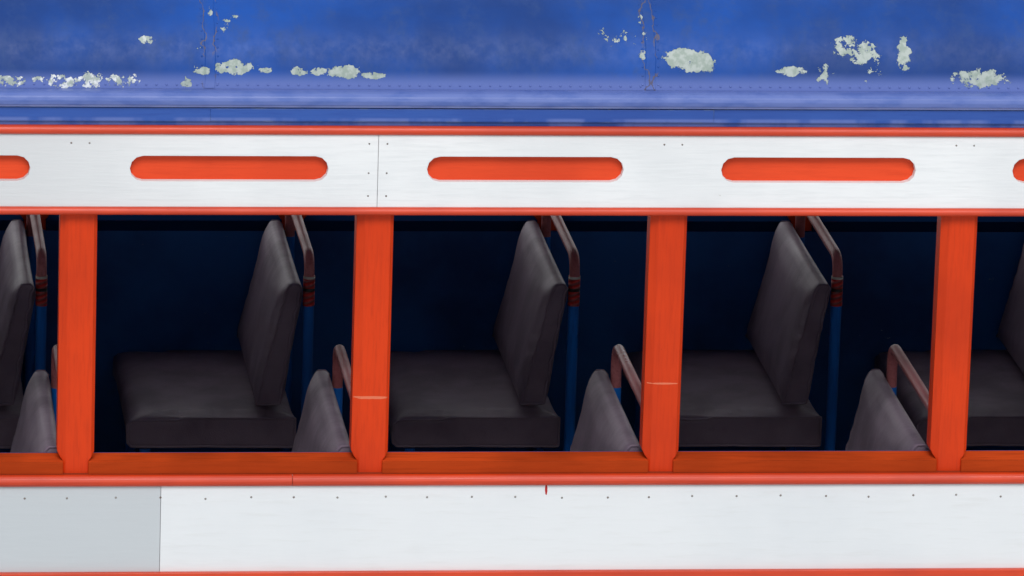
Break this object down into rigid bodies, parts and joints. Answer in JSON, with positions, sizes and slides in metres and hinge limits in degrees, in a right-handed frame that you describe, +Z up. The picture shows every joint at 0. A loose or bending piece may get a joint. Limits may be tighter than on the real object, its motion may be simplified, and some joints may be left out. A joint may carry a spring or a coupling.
{
  "type": "city bus",
  "caption": "Timber-bodied city bus on a lorry chassis with open window bays, opening doors, steered front wheels and twin rear wheels.",
  "frame": {"origin": "on the road, below the middle of the bus, halfway between the bumper faces", "axes": "+X forward, +Y to the left side, +Z up"},
  "size_m": [8.9, 2.91, 3.1286],
  "materials": {
    "chassis_paint": "satin",
    "spring_steel": "dull",
    "cast_iron": "dull",
    "exhaust_steel": "dull, rusty",
    "tyre": "matt",
    "rim_paint": "satin",
    "floor_timber": "worn",
    "orange_paint": "gloss paint, brushed",
    "sill_paint": "gloss paint, worn",
    "white_timber": "gloss paint, brushed",
    "white_sheet": "gloss paint",
    "blue_sheet": "gloss paint, peeled",
    "blue_timber": "gloss paint",
    "recess_paint": "gloss paint",
    "roof_timber": "oiled",
    "glass": "clear",
    "mirror_housing": "satin",
    "steel": "worn",
    "lamp_glass": "ribbed",
    "signal_lens": "clear moulded",
    "black_plastic": "satin",
    "grey_board": "satin paint",
    "vinyl": "smooth vinyl",
    "blue_tube": "gloss paint",
    "maroon_tube": "gloss paint"
  },
  "bodies": {
    "root": {"chassis_frame": "chassis_paint", "leaf_springs": "spring_steel", "front_axle_beam": "cast_iron", "rear_axle_housing": "cast_iron", "engine_block": "cast_iron", "driveline": "cast_iron", "radiator": "chassis_paint", "fuel_tank": "chassis_paint", "exhaust": "exhaust_steel", "bumpers": "chassis_paint", "tow_eyes": "steel", "floor_bearers": "floor_timber", "floor_boards": "floor_timber", "side_posts": "orange_paint", "end_frames": "orange_paint", "roof_timbers": "roof_timber", "sill_boards": "sill_paint", "inner_lining": "blue_timber", "body_panels": "white_sheet", "mouldings": "orange_paint", "letterboards": "white_timber", "recess_backings": "recess_paint", "roof_skin": "blue_sheet", "roof_fascia": "blue_sheet", "windscreen": "glass", "grille": "chassis_paint", "headlamps": "lamp_glass", "signal_lamps": "signal_lens", "door_mirrors": "mirror_housing", "door_brackets": "steel", "engine_box": "grey_board", "dashboard": "grey_board", "seat_cushions": "vinyl", "seat_backs": "vinyl", "seat_frames": "blue_tube", "grab_rails": "maroon_tube"},
    "knuckle_left": {"knuckle_left": "cast_iron"},
    "knuckle_right": {"knuckle_right": "cast_iron"},
    "tie_rod": {"tie_rod": "steel"},
    "front_wheel_left": {"front_tyre_left": "tyre", "front_rim_left": "rim_paint"},
    "front_wheel_right": {"front_tyre_right": "tyre", "front_rim_right": "rim_paint"},
    "rear_wheels_left": {"rear_tyres_left": "tyre", "rear_rims_left": "rim_paint"},
    "rear_wheels_right": {"rear_tyres_right": "tyre", "rear_rims_right": "rim_paint"},
    "steering_wheel": {"steering_wheel": "black_plastic"},
    "driver_door": {"driver_door": "white_timber"},
    "front_passenger_door": {"front_passenger_door": "white_timber"},
    "rear_passenger_door": {"rear_passenger_door": "white_timber"},
    "engine_cover": {"engine_cover": "grey_board"}
  },
  "joints": [
    {"name": "front_left_steer", "type": "hinge", "parent": "root", "child": "knuckle_left", "pos_m": [3.05, 0.85, 0.485], "axis": [0, 0, 1], "range_deg": [-32, 32]},
    {"name": "front_right_steer", "type": "hinge", "parent": "root", "child": "knuckle_right", "pos_m": [3.05, -0.85, 0.485], "axis": [0, 0, 1], "range_deg": [-32, 32]},
    {"name": "tie_rod_pivot", "type": "hinge", "parent": "knuckle_left", "child": "tie_rod", "pos_m": [2.85, 0.835, 0.389], "axis": [0, 0, 1], "range_deg": [-32, 32]},
    {"name": "steering_wheel_turn", "type": "hinge", "parent": "root", "child": "steering_wheel", "pos_m": [3.75, 0.74, 1.79], "axis": [-0.342, 0, 0.9397], "range_deg": [-512, 512]},
    {"name": "front_left_spin", "type": "hinge", "parent": "knuckle_left", "child": "front_wheel_left", "pos_m": [3.05, 1, 0.485], "axis": [0, 1, 0], "continuous": true},
    {"name": "front_right_spin", "type": "hinge", "parent": "knuckle_right", "child": "front_wheel_right", "pos_m": [3.05, -1, 0.485], "axis": [0, 1, 0], "continuous": true},
    {"name": "rear_left_spin", "type": "hinge", "parent": "root", "child": "rear_wheels_left", "pos_m": [-1.8, 0.925, 0.485], "axis": [0, 1, 0], "continuous": true},
    {"name": "rear_right_spin", "type": "hinge", "parent": "root", "child": "rear_wheels_right", "pos_m": [-1.8, -0.925, 0.485], "axis": [0, 1, 0], "continuous": true},
    {"name": "driver_door_hinge", "type": "hinge", "parent": "root", "child": "driver_door", "pos_m": [4.2725, 1.239, 1.8], "axis": [0, 0, -1], "range_deg": [0, 80]},
    {"name": "front_passenger_door_hinge", "type": "hinge", "parent": "root", "child": "front_passenger_door", "pos_m": [4.2725, -1.239, 1.8], "axis": [0, 0, 1], "range_deg": [0, 80]},
    {"name": "rear_passenger_door_hinge", "type": "hinge", "parent": "root", "child": "rear_passenger_door", "pos_m": [-2.9275, -1.239, 1.8], "axis": [0, 0, 1], "range_deg": [0, 80]},
    {"name": "engine_cover_hinge", "type": "hinge", "parent": "root", "child": "engine_cover", "pos_m": [3.08, 0, 1.4], "axis": [0, -1, 0], "range_deg": [0, 85]}
  ],
  "couplings": [
    {"joint": "front_right_steer", "follows": "front_left_steer", "ratio": 1},
    {"joint": "tie_rod_pivot", "follows": "front_left_steer", "ratio": -1},
    {"joint": "steering_wheel_turn", "follows": "front_left_steer", "ratio": 16}
  ]
}
